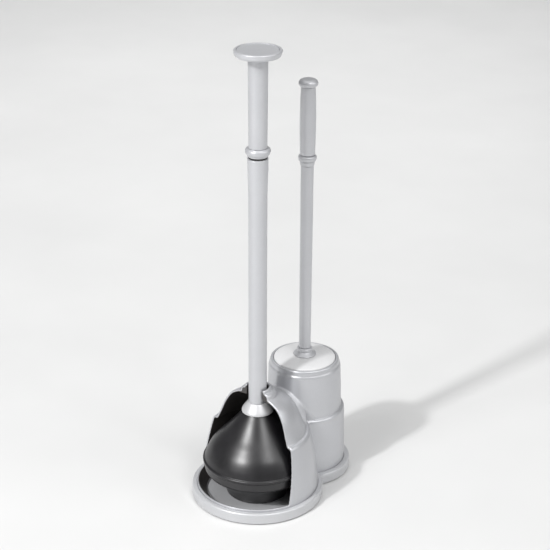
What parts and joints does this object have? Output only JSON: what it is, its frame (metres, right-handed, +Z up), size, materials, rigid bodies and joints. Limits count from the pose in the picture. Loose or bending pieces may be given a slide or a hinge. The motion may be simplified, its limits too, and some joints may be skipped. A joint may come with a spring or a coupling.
{
  "type": "toilet plunger set",
  "caption": "Free-standing toilet plunger with a rubber bell cup, in a silver caddy with an open hood and a lidded canister that holds a matching bowl brush.",
  "frame": {"origin": "on the floor, under the middle of the caddy's footprint", "axes": "+Z up along the handles, -Y out of the hood's open front, +Y towards the brush canister, X across"},
  "size_m": [0.1622, 0.2288, 0.57],
  "materials": {
    "silver_paint": "satin silver paint over moulded plastic",
    "bright_silver": "brighter, glossier silver finish",
    "black_rubber": "semi-gloss moulded rubber",
    "black_plastic": "unpainted black moulding",
    "white_plastic": "moulded white plastic",
    "white_bristle": "translucent white filament",
    "foot_rubber": "thin non-slip pad"
  },
  "bodies": {
    "caddy": {"caddy_shell": "silver_paint", "base_pan": "silver_paint", "foot_pad_1": "foot_rubber", "foot_pad_2": "foot_rubber", "foot_pad_3": "foot_rubber", "foot_pad_4": "foot_rubber", "foot_pad_5": "foot_rubber"},
    "plunger": {"plunger_cup": "black_rubber", "cup_socket": "black_plastic", "plunger_collar": "bright_silver", "plunger_shaft": "silver_paint", "plunger_joiner": "black_plastic", "plunger_grip_ring": "silver_paint", "plunger_grip": "silver_paint", "plunger_knob": "silver_paint", "plunger_knob_cap": "silver_paint"},
    "lid": {"brush_lid": "silver_paint"},
    "brush": {"brush_foot_flange": "silver_paint", "brush_shaft": "silver_paint", "brush_joiner": "silver_paint", "brush_grip_ring": "silver_paint", "brush_grip": "silver_paint", "brush_end_cap": "silver_paint", "brush_stem": "black_plastic", "brush_core": "white_plastic", "brush_bristles": "white_bristle"}
  },
  "joints": [
    {"name": "plunger_draw_out", "type": "slide", "parent": "caddy", "child": "plunger", "axis": [0, -0.8829, 0.4695], "range_m": [0, 0.2]},
    {"name": "brush_lift", "type": "slide", "parent": "caddy", "child": "lid", "axis": [0, 0, 1], "range_m": [0, 0.1]},
    {"name": "brush_turn", "type": "hinge", "parent": "lid", "child": "brush", "pos_m": [0, 0.0556, 0.15], "axis": [0, 0, 1], "continuous": true}
  ]
}
